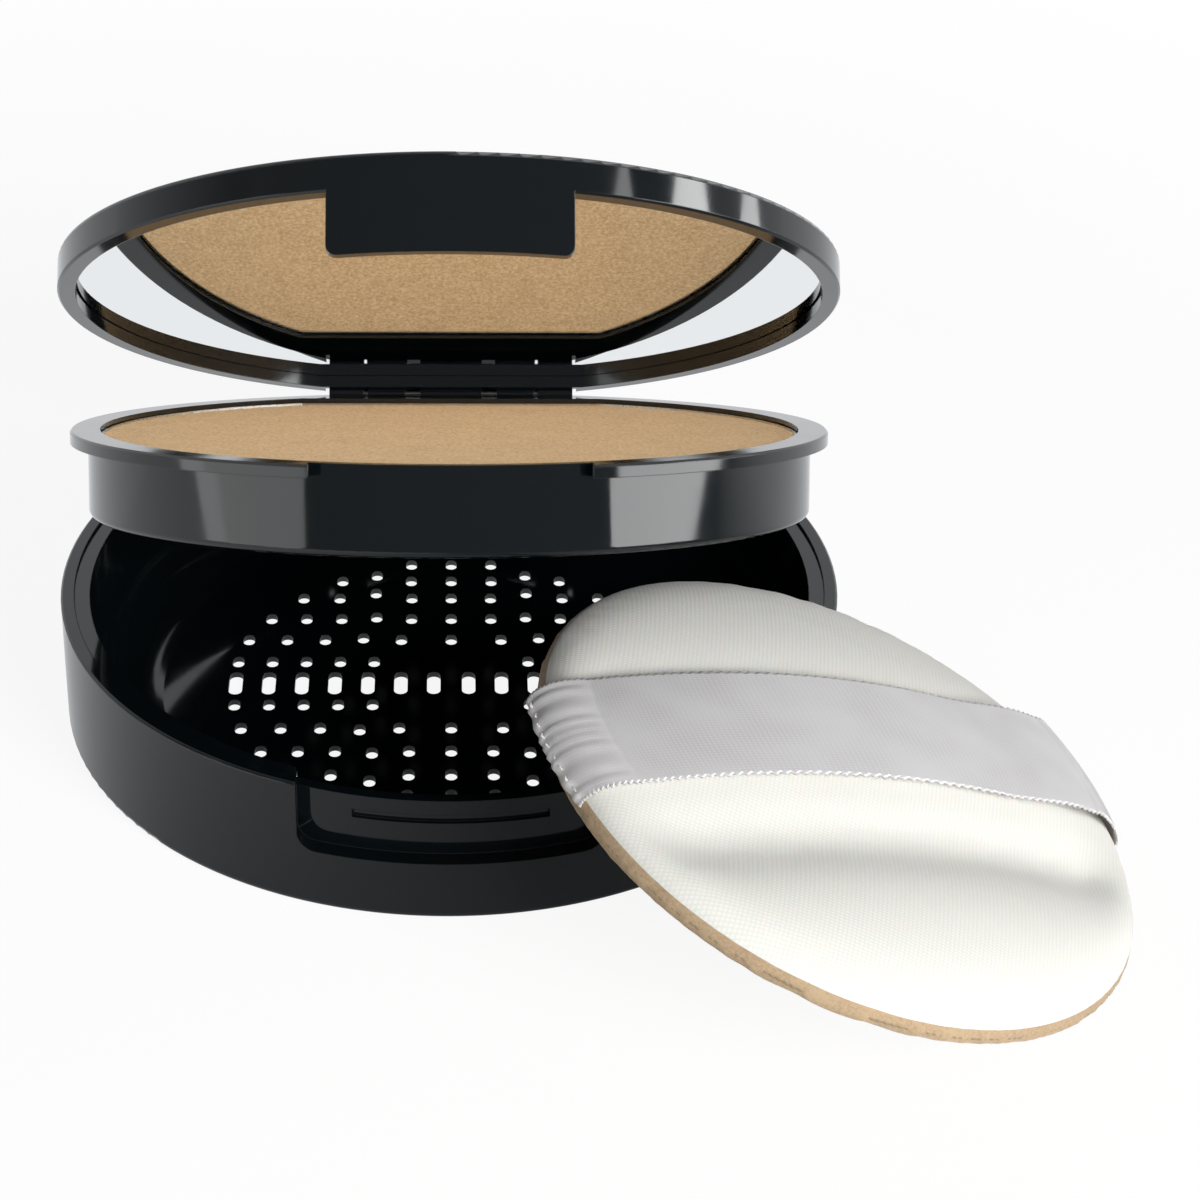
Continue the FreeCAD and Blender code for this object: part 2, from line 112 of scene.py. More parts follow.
class PuffShape(PropertyGroup):
    radius: length("Radius", 29.0, "Radius of the puff at its seam")
    inset: length("Inset", 0.35, "How much smaller the pad starts, because it swells")
    seam: length("Seam level", -0.6, "Level of the seam from the puff's middle plane")
    split: length("Knit edge", 0.25, "Level where the knit meets the velour's turned edge")
    crown: length("Crown", 5.4, "Level of the top of the back")
    shoulder: length("Shoulder", 2.5, "Level of the back where its edge starts to round")
    edge: length("Edge", 4.0, "Width of the rounded edge")
    sole: length("Sole", -2.4, "Level of the face near the edge")
    hollow: length("Hollow", 1.0, "Hollow of the face at the middle")
    heel: length("Heel", 1.4, "Width of the face's rounded edge")
    bulge: length("Bulge", 0.45, "How far the back's edge swells out beyond the seam")
    tilt: angle("Tilt", 22.6, "Lean of the puff on the tray rim")
    turn: angle("Turn", -6.5, "Direction in which the puff slopes down")
    voxel: length("Voxel", 0.85, "Voxel of the remesh before the cloth simulation")
    swell: length("Swell", 1.1, "The most that the simulation may move a point")
    valley: length("Valley", 1.9, "Depth of the dent in front of the ribbon")
    valley_at: length("Valley place", -11.8, "Middle of the dent, from the ribbon's centre line")
    valley_width: length("Valley width", 3.6, "Half width of the dent")
    white: colour("Knit", "f6f5ef", "White knitted back")
    # Painted shade: the colour given to the hollows between the knit's loops
    knit_painted_shade: colour("Knit shade", "e9e8e0", "The knit between its loops")
    velour: colour("Velour", "c6ad8c", "Beige velour face")
    # Darker velour: used for random brushed patches and as painted shade between the tufts
    velour_brushing_and_painted_shade: colour("Velour shade", "b1957a", "Velour between its tufts")
    piping: colour("Seam", "a08a6c", "Thread of the edge seam")
    loop: length("Loop", 0.4, "Width of a knitted loop")
    tuft: length("Tuft", 0.3, "Width of a velour tuft")
    seam_radius: length("Seam radius", 0.2, "Radius of the whipped edge seam")
    whips: IntProperty(name="Whips", description="Turns of thread round the seam", default=280)


class RibbonShape(PropertyGroup):
    half: length("Half width", 6.6, "Half width of the ribbon")
    thickness: length("Thickness", 0.22, "Thickness of the satin")
    gap: length("Gap", 0.3, "Clearance of the ribbon over the puff")
    bow: length("Bow", 0.35, "How far the strap stands off the puff in its middle")
    lift: length("Lift", 1.0, "How far the strap stands off the puff near its lower end")
    turn: angle("Direction", 26.8, "Direction of the ribbon across the puff")
    offset: length("Offset", 2.3, "Centre line behind the puff's middle")
    crumple: length("Crumple", 0.22, "How far the strap's folded end puckers")
    picot: length("Picot", 0.16, "How far the loops of the woven edge stand out")
    picot_pitch: length("Picot pitch", 0.75, "Spacing of the loops of the woven edge")
    satin: colour("Satin", "d8d6d6", "Satin ribbon")
    # Darker satin: used for random slubs and as painted shade between the floats
    satin_slubs_and_painted_shade: colour("Satin shade", "cbc8c9", "Satin between its floats")
    thread: colour("Thread", "e6e3dc", "Sewing thread")
    yarn: length("Yarn", 0.3, "Spacing of the satin's yarns")
    stitches: IntProperty(name="Stitches", description="Stitches at each end", default=9)


class StudioSetup(PropertyGroup):
    paper: colour("Paper", "f2f2f0", "Floor")
    cool: colour("Cool white", "fafcff", "Tint of what the plastic reflects")
    key_power: FloatProperty(name="Key", description="Power of the key light", default=4.9)
    powder_power: FloatProperty(name="Powder light", description="Power of the powder's light",
                                default=3.7)
    fill: share("Fill", 0.13, "Level of the even fill light")
    lens: FloatProperty(name="Lens", description="Focal length", default=97.407, unit="CAMERA")
    eye: FloatVectorProperty(
        name="Camera place", description="Place of the camera", subtype="TRANSLATION",
        default=(0.000171, -0.272349, 0.181103), precision=5,
    )
    aim: FloatVectorProperty(
        name="Camera turn", description="Rotation of the camera", subtype="EULER",
        default=(math.radians(57.9489), math.radians(-1.3344), math.radians(-2.2261)),
    )


# ---- mesh helpers -------------------------------------------------------------------------
def grid_faces(rows, columns, closed=False):
    """Quads of a grid of points stored row by row.  closed joins the last column to the first."""
    steps = columns if closed else columns - 1
    row, column = np.meshgrid(np.arange(rows - 1), np.arange(steps), indexing="ij")
    right = (column + 1) % columns
    quads = [row * columns + column, row * columns + right,
             (row + 1) * columns + right, (row + 1) * columns + column]
    return np.stack(quads, axis=-1).reshape(-1, 4)


def new_piece(name, points, faces, material):
    """An object at the origin whose mesh holds the points and faces, smooth shaded."""
    mesh = bpy.data.meshes.new(name)
    mesh.from_pydata(points.reshape(-1, 3).tolist(), [], faces.tolist())
    mesh.validate()
    mesh.shade_smooth()
    piece = bpy.data.objects.new(name, mesh)
    bpy.context.scene.collection.objects.link(piece)
    if material:
        mesh.materials.append(material)
    return piece


def face_outwards(piece):
    """Turn the normals of a closed mesh outwards."""
    shell = bmesh.new()
    shell.from_mesh(piece.data)
    bmesh.ops.recalc_face_normals(shell, faces=shell.faces)
    shell.to_mesh(piece.data)
    shell.free()


def evaluated(piece):
    """A new mesh of the piece with its modifiers applied."""
    depsgraph = bpy.context.evaluated_depsgraph_get()
    return bpy.data.meshes.new_from_object(piece.evaluated_get(depsgraph))


def points_of(mesh):
    points = np.empty(len(mesh.vertices) * 3)
    mesh.vertices.foreach_get("co", points)
    return points.reshape(-1, 3)


def smooth_step(x, low, high):
    """0 below low, 1 above high, and a smooth curve between."""
    t = np.clip((x - low) / (high - low), 0, 1)
    return t * t * (3 - 2 * t)


# ---- node helper --------------------------------------------------------------------------
def add(tree, kind, sockets=None, **settings):
    """Add a node.  settings are its properties; sockets maps an input's name or number to a
    value, or to (node, output) for a link."""
    node = tree.nodes.new(kind)
    for key, value in settings.items():
        setattr(node, key, value)
    for key, value in (sockets or {}).items():
        if isinstance(value, tuple) and isinstance(value[0], bpy.types.Node):
            tree.links.new(value[0].outputs[value[1]], node.inputs[key])
        else:
            node.inputs[key].default_value = value
    return node


def start_material(name):
    """An empty node material with an output, and its tree and output."""
    material = bpy.data.materials.new(name)
    material.use_nodes = True
    tree = material.node_tree
    tree.nodes.clear()
    return material, tree, add(tree, "ShaderNodeOutputMaterial")


def ramp(node, stops):
    """Set a colour ramp's stops from (position, colour) pairs."""
    elements = node.color_ramp.elements
    for element, (position, value) in zip(elements, stops):
        element.position, element.color = position, value
    for position, value in stops[2:]:
        elements.new(position).color = value


BAND = 2 * math.pi / 20          # a Wave Texture's scale times its period


# ---- materials ----------------------------------------------------------------------------
def gloss_abs():
    """Black ABS from a polished mould: deep colour, sharp reflections, a faint flow waviness,
    fine handling marks, and edges that are softened and a little rubbed."""
    finish = bpy.context.scene.compact_finish
    material, tree, output = start_material("gloss_abs_moulded")
    place = add(tree, "ShaderNodeTexCoord")
    rounded = add(tree, "ShaderNodeBevel", {"Radius": finish.edge}, samples=4)
    sharp = add(tree, "ShaderNodeNewGeometry")
    facing = add(tree, "ShaderNodeVectorMath", {0: (rounded, 0), 1: (sharp, "Normal")},
                 operation="DOT_PRODUCT")
    rubbed = add(tree, "ShaderNodeMapRange",
                 {"Value": (facing, "Value"), 1: 0.995, 2: 0.80, 3: 0.0, 4: 1.0})
    patches = add(tree, "ShaderNodeTexNoise", {"Vector": (place, "Object"), "Scale": 1 / (4 * MM)})
    edge_wear = add(tree, "ShaderNodeMath", {0: (rubbed, 0), 1: (patches, 0)},
                    operation="MULTIPLY")
    base = add(tree, "ShaderNodeMix", {0: (edge_wear, 0), 6: finish.plastic,
                                       7: finish.plastic_worn}, data_type="RGBA")
    marks = add(tree, "ShaderNodeTexNoise",
                {"Vector": (place, "Object"), "Scale": 1 / (9 * MM), "Detail": 6.0,
                 "Roughness": 0.62})
    polish = add(tree, "ShaderNodeMapRange",
                 {"Value": (marks, 0), 1: 0.35, 2: 0.75, 3: 0.055, 4: 0.13})
    flow = add(tree, "ShaderNodeTexNoise",
               {"Vector": (place, "Object"), "Scale": 1 / (7 * MM), "Detail": 1.0})
    bump = add(tree, "ShaderNodeBump", {"Height": (flow, 0), "Strength": 0.12,
                                        "Distance": 0.02 * MM, "Normal": (rounded, 0)})
    shader = add(tree, "ShaderNodeBsdfPrincipled",
                 {"Base Color": (base, 2), "Roughness": (polish, 0), "IOR": 1.53,
                  "Normal": (bump, 0)})
    tree.links.new(shader.outputs[0], output.inputs[0])
    return material


def pressed_powder():
    """Pressed face powder: matt, dusty, with a fine grain of lighter and darker particles and
    the soft unevenness of the press cloth."""
    finish = bpy.context.scene.compact_finish
    material, tree, output = start_material("pressed_powder_matt")
    place = add(tree, "ShaderNodeTexCoord")
    grain = add(tree, "ShaderNodeTexNoise",
                {"Vector": (place, "Object"), "Scale": 1 / finish.grain, "Detail": 3.0,
                 "Roughness": 0.7})
    tone = add(tree, "ShaderNodeValToRGB", {0: (grain, 0)})
    ramp(tone, [(0.3, finish.powder_dark), (0.5, finish.powder), (0.72, finish.powder_light)])
    cloth = add(tree, "ShaderNodeTexNoise",
                {"Vector": (place, "Object"), "Scale": 1 / (3.2 * MM), "Detail": 2.0})
    cloud = add(tree, "ShaderNodeMapRange", {"Value": (cloth, 0), 1: 0.3, 2: 0.7, 3: 0.93, 4: 1.0})
    tinted = add(tree, "ShaderNodeVectorMath", {0: (tone, 0), "Scale": (cloud, 0)},
                 operation="SCALE")
    height = add(tree, "ShaderNodeMath", {0: (grain, 0), 1: 0.6, 2: (cloth, 0)},
                 operation="MULTIPLY_ADD")
    bump = add(tree, "ShaderNodeBump", {"Height": (height, 0), "Strength": 0.5,
                                        "Distance": 0.05 * MM})
    shader = add(tree, "ShaderNodeBsdfPrincipled",
                 {"Base Color": (tinted, 0), "Roughness": 0.92, "IOR": 1.4,
                  "Specular IOR Level": 0.12, "Sheen Weight": 0.03, "Sheen Roughness": 0.6,
                  "Normal": (bump, 0)})
    tree.links.new(shader.outputs[0], output.inputs[0])
    return material


def metal(name, tint, roughness, line_width):
    """Bare metal with fine marks left by how it was made: pressed sheet or drawn wire."""
    material, tree, output = start_material(name)
    place = add(tree, "ShaderNodeTexCoord")
    stretched = add(tree, "ShaderNodeMapping", {"Vector": (place, "Object"),
                                                "Scale": (0.08, 1.0, 1.0)})
    lines = add(tree, "ShaderNodeTexNoise", {"Vector": (stretched, 0), "Scale": 1 / line_width,
                                             "Detail": 4.0})
    rough = add(tree, "ShaderNodeMapRange",
                {"Value": (lines, 0), 1: 0.3, 2: 0.7, 3: roughness * 0.75, 4: roughness * 1.3})
    bump = add(tree, "ShaderNodeBump", {"Height": (lines, 0), "Strength": 0.15,
                                        "Distance": 0.01 * MM})
    shader = add(tree, "ShaderNodeBsdfPrincipled",
                 {"Base Color": tint, "Metallic": 1.0, "Roughness": (rough, 0),
                  "Normal": (bump, 0)})
    tree.links.new(shader.outputs[0], output.inputs[0])
    return material


def silvered_glass():
    """Mirror glass, silvered: a clean bright reflection with the faintest handling haze."""
    finish = bpy.context.scene.compact_finish
    material, tree, output = start_material("silvered_mirror_glass")
    place = add(tree, "ShaderNodeTexCoord")
    haze = add(tree, "ShaderNodeTexNoise", {"Vector": (place, "Object"), "Scale": 1 / (12 * MM),
                                            "Detail": 5.0})
    rough = add(tree, "ShaderNodeMapRange", {"Value": (haze, 0), 1: 0.45, 2: 0.8, 3: 0.0,
                                             4: 0.035})
    shader = add(tree, "ShaderNodeBsdfPrincipled",
                 {"Base Color": finish.mirror, "Metallic": 1.0, "Roughness": (rough, 0)})
    tree.links.new(shader.outputs[0], output.inputs[0])
    return material


def cured_glue():
    """A thin bed of cured adhesive: yellowish and waxy."""
    finish = bpy.context.scene.compact_finish
    material, tree, output = start_material("adhesive_cured")
    place = add(tree, "ShaderNodeTexCoord")
    blobs = add(tree, "ShaderNodeTexNoise", {"Vector": (place, "Object"), "Scale": 1 / (2 * MM)})
    bump = add(tree, "ShaderNodeBump", {"Height": (blobs, 0), "Strength": 0.3,
                                        "Distance": 0.05 * MM})
    rough = add(tree, "ShaderNodeMapRange", {"Value": (blobs, 0), 3: 0.3, 4: 0.5})
    shader = add(tree, "ShaderNodeBsdfPrincipled",
                 {"Base Color": finish.glue, "Roughness": (rough, 0), "IOR": 1.48,
                  "Normal": (bump, 0)})
    tree.links.new(shader.outputs[0], output.inputs[0])
    return material


def puff_coordinates(tree):
    """Object coordinates turned into the puff's own plane."""
    centre, lean = puff_place()
    place = add(tree, "ShaderNodeTexCoord")
    turned = Matrix(lean.tolist()).to_euler()
    return add(tree, "ShaderNodeMapping",
               {"Vector": (place, "Object"), "Location": centre, "Rotation": turned},
               vector_type="TEXTURE")


def cotton_knit():
    """White cotton jersey: rows of small loops about 0.4 mm wide, matt with a soft sheen at
    the edges, and drawn darker in the hollows between the loops as painted shade."""
    puff = bpy.context.scene.compact_puff
    material, tree, output = start_material("cotton_jersey_knitted")
    local = puff_coordinates(tree)
    wales = add(tree, "ShaderNodeTexWave", {"Vector": (local, 0), "Scale": BAND / puff.loop,
                                            "Distortion": 0.6, "Detail": 1.0,
                                            "Detail Scale": 2.0}, bands_direction="X")
    courses = add(tree, "ShaderNodeTexWave", {"Vector": (local, 0),
                                              "Scale": BAND / (puff.loop * 0.8),
                                              "Distortion": 0.6, "Detail": 1.0,
                                              "Detail Scale": 2.0}, bands_direction="Y")
    loops = add(tree, "ShaderNodeMath", {0: (wales, 1), 1: (courses, 1)}, operation="MULTIPLY")
    fuzz = add(tree, "ShaderNodeTexNoise", {"Vector": (local, 0), "Scale": 1 / (0.16 * MM),
                                            "Detail": 2.0})
    height = add(tree, "ShaderNodeMath", {0: (fuzz, 0), 1: 0.25, 2: (loops, 0)},
                 operation="MULTIPLY_ADD")
    # Painted shade: the knit is coloured darker where its loops and fuzz are low, in the hollows
    # between the loops
    tone = add(tree, "ShaderNodeValToRGB", {0: (height, 0)})
    ramp(tone, [(0.0, puff.knit_painted_shade), (0.42, puff.white)])
    bump = add(tree, "ShaderNodeBump", {"Height": (height, 0), "Strength": 0.25,
                                        "Distance": 0.05 * MM})
    shader = add(tree, "ShaderNodeBsdfPrincipled",
                 {"Base Color": (tone, 0), "Roughness": 0.95, "Specular IOR Level": 0.2,
                  "Sheen Weight": 0.25, "Sheen Roughness": 0.5,
                  "Subsurface Weight": 0.12, "Subsurface Scale": 0.6 * MM,
                  "Normal": (bump, 0)})
    tree.links.new(shader.outputs[0], output.inputs[0])
    return material


def velour():
    """Beige velour: a short dense pile that is lighter where it faces away, with random darker
    brushed patches and painted shade between its tufts."""
    puff = bpy.context.scene.compact_puff
    material, tree, output = start_material("polyester_velour_pile")
    local = puff_coordinates(tree)
    pile = add(tree, "ShaderNodeTexNoise", {"Vector": (local, 0), "Scale": 1 / puff.tuft,
                                            "Detail": 4.0, "Roughness": 0.65})
    brushed = add(tree, "ShaderNodeTexNoise", {"Vector": (local, 0), "Scale": 1 / (5 * MM),
                                               "Detail": 2.0})
    # Velour tone: random brushed patches, plus painted shade where the pile is low between the
    # tufts
    mixed = add(tree, "ShaderNodeMath", {0: (brushed, 0), 1: 0.5, 2: (pile, 0)},
                operation="MULTIPLY_ADD")
    tone = add(tree, "ShaderNodeValToRGB", {0: (mixed, 0)})
    ramp(tone, [(0.5, puff.velour_brushing_and_painted_shade), (0.85, puff.velour)])
    bump = add(tree, "ShaderNodeBump", {"Height": (pile, 0), "Strength": 0.6,
                                        "Distance": 0.12 * MM})
    shader = add(tree, "ShaderNodeBsdfPrincipled",
                 {"Base Color": (tone, 0), "Roughness": 1.0, "Specular IOR Level": 0.1,
                  "Sheen Weight": 0.7, "Sheen Roughness": 0.45,
                  "Sheen Tint": linear("f3e3cf"), "Normal": (bump, 0)})
    tree.links.new(shader.outputs[0], output.inputs[0])
    return material


def sewing_thread(name, tint):
    """Twisted polyester thread: fine slanted plies with a soft shine."""
    material, tree, output = start_material(name)
    local = puff_coordinates(tree)
    plies = add(tree, "ShaderNodeTexWave", {"Vector": (local, 0), "Scale": BAND / (0.2 * MM),
                                            "Distortion": 1.0}, bands_direction="DIAGONAL")
    bump = add(tree, "ShaderNodeBump", {"Height": (plies, 1), "Strength": 0.4,
                                        "Distance": 0.03 * MM})
    rough = add(tree, "ShaderNodeMapRange", {"Value": (plies, 1), 3: 0.55, 4: 0.7})
    shader = add(tree, "ShaderNodeBsdfPrincipled",
                 {"Base Color": tint, "Roughness": (rough, 0), "Sheen Weight": 0.3,
                  "Normal": (bump, 0)})
    tree.links.new(shader.outputs[0], output.inputs[0])
    return material


def satin():
    """Woven satin ribbon: long floats along its length give a smooth stretched highlight, fine
    yarn lines run across.  The yarns are drawn coarser than the real 0.15 mm so that they
    show.  The UV map is in metres: U across the ribbon, V along it."""
    ribbon = bpy.context.scene.compact_ribbon
    material, tree, output = start_material("polyester_satin_woven")
    laid = add(tree, "ShaderNodeUVMap", uv_map="cloth")
    warp = add(tree, "ShaderNodeTexWave", {"Vector": (laid, 0), "Scale": BAND / ribbon.yarn,
                                           "Distortion": 0.4}, bands_direction="X")
    weft = add(tree, "ShaderNodeTexWave", {"Vector": (laid, 0),
                                           "Scale": BAND / (ribbon.yarn * 1.3),
                                           "Distortion": 0.8, "Detail": 1.0},
               bands_direction="Y")
    weave = add(tree, "ShaderNodeMath", {0: (warp, 1), 1: (weft, 1)}, operation="MULTIPLY")
    slubs = add(tree, "ShaderNodeTexNoise", {"Vector": (laid, 0), "Scale": 1 / (6 * MM),
                                             "Detail": 1.0})
    # Satin tone: random slubs, plus painted shade where the weave is low between the floats
    tone_by = add(tree, "ShaderNodeMath", {0: (weave, 0), 1: 0.5, 2: (slubs, 0)},
                  operation="MULTIPLY_ADD")
    tone = add(tree, "ShaderNodeValToRGB", {0: (tone_by, 0)})
    ramp(tone, [(0.35, ribbon.satin_slubs_and_painted_shade), (0.7, ribbon.satin)])
    bump = add(tree, "ShaderNodeBump", {"Height": (weave, 0), "Strength": 0.25,
                                        "Distance": 0.03 * MM})
    along = add(tree, "ShaderNodeTangent", direction_type="UV_MAP", uv_map="cloth")
    shader = add(tree, "ShaderNodeBsdfPrincipled",
                 {"Base Color": (tone, 0), "Metallic": 0.25, "Roughness": 0.36,
                  "Anisotropic": 0.6,
                  "Tangent": (along, 0), "Specular IOR Level": 0.55, "Sheen Weight": 0.25,
                  "Normal": (bump, 0)})
    tree.links.new(shader.outputs[0], output.inputs[0])
    return material


# ---- the puff -----------------------------------------------------------------------------
def puff_place():
    """Middle of the puff and its rotation matrix: it slopes down by the tilt, towards the turn.
    The middle lies on the seam ring's axis, off its centre by the seam level."""
    puff = bpy.context.scene.compact_puff
    low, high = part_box("puff_edge_seam")
    lean = np.array(Matrix.Rotation(puff.turn, 3, "Z") @ Matrix.Rotation(puff.tilt, 3, "Y"))
    return np.array((low + high) / 2) - lean[:, 2] * puff.seam, lean


def in_place(local):
    """Points of the puff's own frame, in the row frame."""
    centre, lean = puff_place()
    return local @ lean.T + centre


def dome(r, half, rise):
    """Height that a shallow spherical dome of that half width and rise has dropped at r."""
    radius = (half**2 + rise**2) / (2 * rise)
    return radius - np.sqrt(radius**2 - np.minimum(r, half) ** 2)


def back_height(r, inset):
    """Height of the puff's back at a distance r from its middle: a shallow dome up to the
    shoulder, then a quarter ellipse down to the seam."""
    puff = bpy.context.scene.compact_puff
    rim, shoulder = puff.radius - inset, puff.radius - puff.edge
    level = puff.shoulder - inset
    crown = puff.crown - inset
    out = np.clip((r - shoulder) / (rim - shoulder), 0, 1)
    domed = crown - dome(r, shoulder, crown - level)
    return np.where(r < shoulder, domed, puff.seam + (level - puff.seam) * np.sqrt(1 - out**2))


def face_height(r, inset):
    """Height of the puff's face: a shallow hollow, then a quarter ellipse up to the seam."""
    puff = bpy.context.scene.compact_puff
    rim, heel = puff.radius - inset, puff.radius - puff.heel
    sole = puff.sole + inset
    out = np.clip((r - heel) / (rim - heel), 0, 1)
    hollowed = sole + puff.hollow - dome(r, heel, puff.hollow)
    return np.where(r < heel, hollowed, puff.seam + (sole - puff.seam) * np.sqrt(1 - out**2))


def across(x, y):
    """Coordinates along and across the ribbon of points in the puff's plane."""
    ribbon = bpy.context.scene.compact_ribbon
    c, s = math.cos(ribbon.turn), math.sin(ribbon.turn)
    return x * c + y * s, y * c - x * s - ribbon.offset


def dent(x, y):
    """Depth of the dent that the strap pulls into the back: a bell across the ribbon's
    direction, fading towards the puff's edge and a little towards the strap's upper end."""
    puff = bpy.context.scene.compact_puff
    fade_from, middle, slope = 0.78, 0.88, 0.12
    along, over = across(x, y)
    bell = np.exp(-(((over - puff.valley_at) / puff.valley_width) ** 2))
    r = np.hypot(x, y) / puff.radius
    lean_in = middle + slope * np.clip(along / puff.radius, -1, 1)
    return puff.valley * bell * (1 - smooth_step(r, fade_from, 1.0)) * lean_in


def swell_edge(points):
    """Push the points of the pad's edge outwards: by bulge sin(pi h^0.8) at a share h of the way
    up from the seam to just over the shoulder, and by half as much again from the seam down to
    the sole."""
    puff = bpy.context.scene.compact_puff
    over_shoulder, peak, below = 1.2 * MM, 0.8, 1.5
    x, y, z = np.moveaxis(points, -1, 0)
    r = np.hypot(x, y)
    up = np.clip((z - puff.seam) / (puff.shoulder + over_shoulder - puff.seam), 0, 1)
    down = np.clip((puff.seam - z) / (puff.seam - puff.sole), 0, 1)
    push = puff.bulge * (np.sin(math.pi * up**peak) + below * np.sin(math.pi * down**peak))
    push = push * smooth_step(r, puff.radius - puff.edge, puff.radius - puff.heel)
    grown = 1 + push / np.maximum(r, MM)
    return np.stack([x * grown, y * grown, z], -1)


def pad_shell():
    """Closed pad as one grid of rings: radius r and height z run from the middle of the back,
    round the seam, to the middle of the face."""
    puff = bpy.context.scene.compact_puff
    rings, spokes = 40, 160
    rim = puff.radius - puff.inset
    r = rim * np.sin(np.linspace(0, math.pi / 2, rings))
    around = np.linspace(0, 2 * math.pi, spokes, endpoint=False)
    x, y = np.outer(r, np.cos(around)), np.outer(r, np.sin(around))
    back = np.broadcast_to(back_height(r, puff.inset)[:, None], x.shape) - dent(x, y)
    face = np.broadcast_to(face_height(r, puff.inset)[:, None], x.shape)
    top = swell_edge(np.stack([x, y, back], -1)[1:])
    under = swell_edge(np.stack([x, y, face], -1)[1:-1][::-1])
    points = np.concatenate([top.reshape(-1, 3), under.reshape(-1, 3),
                             [[0, 0, back[0, 0]]], [[0, 0, face[0, 0]]]])
    quads = grid_faces(2 * rings - 3, spokes, closed=True)[:, ::-1]
    here = np.arange(spokes)
    ahead = (here + 1) % spokes
    last = (2 * rings - 4) * spokes
    poles = np.full(spokes, len(points) - 2), np.full(spokes, len(points) - 1)
    fans = [np.stack([poles[0], here, ahead], -1),
            np.stack([poles[1], last + ahead, last + here], -1)]
    faces = quads.tolist() + fans[0].tolist() + fans[1].tolist()
    return points, faces


SIM = 20                        # the cloth solver works at this many times the real size
SWELL_FRAMES = 20               # frames of swelling
HOLD_LEVELS = 10                # steps of the pad's held weight


def hold_pad(rest):
    """Weight from 0 to 1 with which each point of the pad is held: under the strap, in the dent
    and at the seam."""
    puff = bpy.context.scene.compact_puff
    ribbon = bpy.context.scene.compact_ribbon
    strap_fade, dent_share, dent_hold = 2 * MM, 0.8, 0.9
    rim_from, rim_to, seam_full, seam_none = 2.2 * MM, 1 * MM, 0.5 * MM, 1.6 * MM
    x, y, z = rest.T
    over = across(x, y)[1]
    valley = np.exp(-(((over - puff.valley_at) / (puff.valley_width * dent_share)) ** 2))
    strap = 1 - smooth_step(np.abs(over), ribbon.half, ribbon.half + strap_fade)
    rim = smooth_step(np.hypot(x, y), puff.radius - rim_from, puff.radius - rim_to)
    seam = 1 - smooth_step(np.abs(z - puff.seam), seam_full, seam_none)
    return np.maximum(np.maximum(strap, valley * dent_hold) * (z > puff.seam), rim * seam)


def swell(work, rest):
    """Let the cloth solver swell the pad, and keep each point within the swell of its start."""
    puff = bpy.context.scene.compact_puff
    held = hold_pad(rest / SIM)
    group = work.vertex_groups.new(name="held")
    for level in np.arange(1, HOLD_LEVELS + 1):
        near = np.flatnonzero(np.round(held * HOLD_LEVELS) == level)
        group.add(near.tolist(), float(level / HOLD_LEVELS), "REPLACE")
    cloth = work.modifiers.new("stuffing", "CLOTH")
    solver = cloth.settings
    solver.quality = 5
    solver.use_pressure, solver.uniform_pressure_force = True, 4
    solver.effector_weights.gravity = 0
    solver.vertex_group_mass = "held"
    solver.tension_stiffness = solver.compression_stiffness = 12
    solver.bending_stiffness = 0.8
    cloth.collision_settings.use_collision = False
    cloth.point_cache.frame_start, cloth.point_cache.frame_end = 1, SWELL_FRAMES
    for step in range(1, SWELL_FRAMES + 1):
        bpy.context.scene.frame_set(step)
    swollen = evaluated(work)
    moved = points_of(swollen) - rest
    far = np.linalg.norm(moved, axis=1, keepdims=True)
    capped = moved * np.minimum(1, puff.swell * SIM / np.maximum(far, 1e-9))
    work.modifiers.clear()
    work.data.vertices.foreach_set("co", (rest + capped).ravel())
    bpy.data.meshes.remove(swollen)
    bpy.context.scene.frame_set(1)


def swollen_pad():
    """Mesh of the pad in its own frame: remeshed, swollen by the cloth solver between the seam
    and the strap, which hold it, and subdivided once."""
    puff = bpy.context.scene.compact_puff
    points, faces = pad_shell()
    mesh = bpy.data.meshes.new("pad_start")
    mesh.from_pydata((points * SIM).tolist(), [], faces)
    work = bpy.data.objects.new("pad_start", mesh)
    bpy.context.scene.collection.objects.link(work)
    face_outwards(work)
    remesh = work.modifiers.new("voxels", "REMESH")
    remesh.mode, remesh.voxel_size = "VOXEL", puff.voxel * SIM
    even = work.modifiers.new("even", "SMOOTH")
    even.factor, even.iterations = 0.5, 4
    work.data = evaluated(work)
    work.modifiers.clear()
    swell(work, points_of(work.data))
    settle = work.modifiers.new("settle", "SMOOTH")
    settle.factor, settle.iterations = 0.5, 3
    finer = work.modifiers.new("finer", "SUBSURF")
    finer.levels = finer.render_levels = 1
    pad = evaluated(work)
    pad.vertices.foreach_set("co", (points_of(pad) / SIM).ravel())
    bpy.data.objects.remove(work)
    return pad


def half_pad(pad, name, keep_back, material):
    """One side of the pad, cut where the knit meets the velour and closed there."""
    puff = bpy.context.scene.compact_puff
    shell = bmesh.new()
    shell.from_mesh(pad)
    geometry = shell.verts[:] + shell.edges[:] + shell.faces[:]
    bmesh.ops.bisect_plane(shell, geom=geometry, plane_co=(0, 0, puff.split),
                           plane_no=(0, 0, 1), clear_inner=keep_back,
                           clear_outer=not keep_back)
    rim = [edge for edge in shell.edges if edge.is_boundary]
    bmesh.ops.holes_fill(shell, edges=rim, sides=0)
    bmesh.ops.recalc_face_normals(shell, faces=shell.faces)
    mesh = bpy.data.meshes.new(name)
    for edge in rim:
        edge.smooth = False
    shell.to_mesh(mesh)
    shell.free()
    mesh.vertices.foreach_set("co", in_place(points_of(mesh)).ravel())
    mesh.shade_smooth()
    mesh.materials.append(material)
    piece = bpy.data.objects.new(name, mesh)
    bpy.context.scene.collection.objects.link(piece)
    return piece


